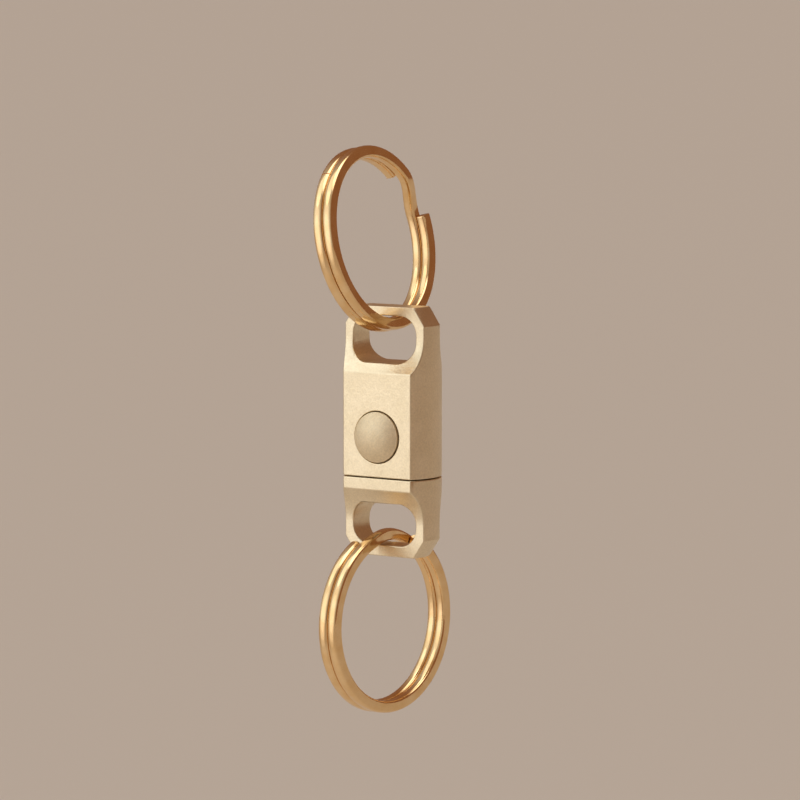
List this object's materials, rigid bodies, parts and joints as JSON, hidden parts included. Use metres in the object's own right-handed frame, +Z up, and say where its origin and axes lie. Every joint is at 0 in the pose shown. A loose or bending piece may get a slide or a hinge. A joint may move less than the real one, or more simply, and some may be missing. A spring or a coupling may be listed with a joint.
{
  "type": "quick release key clip",
  "caption": "Metal key clip in two halves held by a push button latch, with a split ring through the eye of each half.",
  "frame": {"origin": "the point inside the top of the upper split ring where a finger or hook holds the clip", "axes": "+Z up along the bar, -Y out of the face with the push button, +X across that face"},
  "size_m": [0.0107, 0.0203, 0.0618],
  "materials": {
    "satin_brass": "fine blasted satin",
    "polished_gold": "polished, gold toned",
    "steel": "turned"
  },
  "bodies": {
    "holding_ring": {"upper_split_ring": "polished_gold"},
    "upper_half": {"upper_body": "satin_brass", "button_spring": "steel", "retaining_pin": "steel"},
    "button": {"release_button": "satin_brass"},
    "lower_half": {"lower_body": "satin_brass", "plug": "steel"},
    "hanging_ring": {"lower_split_ring": "polished_gold"}
  },
  "joints": [
    {"name": "upper_swing", "type": "hinge", "parent": "holding_ring", "child": "upper_half", "pos_m": [0.0017, 0.00003, -0.00858], "axis": [0.9808, 0.0171, 0.1942], "range_deg": [-120, 120]},
    {"name": "button_press", "type": "slide", "parent": "upper_half", "child": "button", "axis": [0, 1, 0], "range_m": [0, 0.00045], "stiffness_N_per_m": 4000, "deforming": ["button_spring"]},
    {"name": "swivel", "type": "hinge", "parent": "upper_half", "child": "lower_half", "pos_m": [0.00393, 0.00003, -0.03417], "axis": [0, 0, 1], "continuous": true},
    {"name": "lower_ring_swing", "type": "hinge", "parent": "lower_half", "child": "hanging_ring", "pos_m": [0.00315, 0.00162, -0.04172], "axis": [-0.9958, 0.0915, -0.0105], "range_deg": [0, 40]}
  ]
}
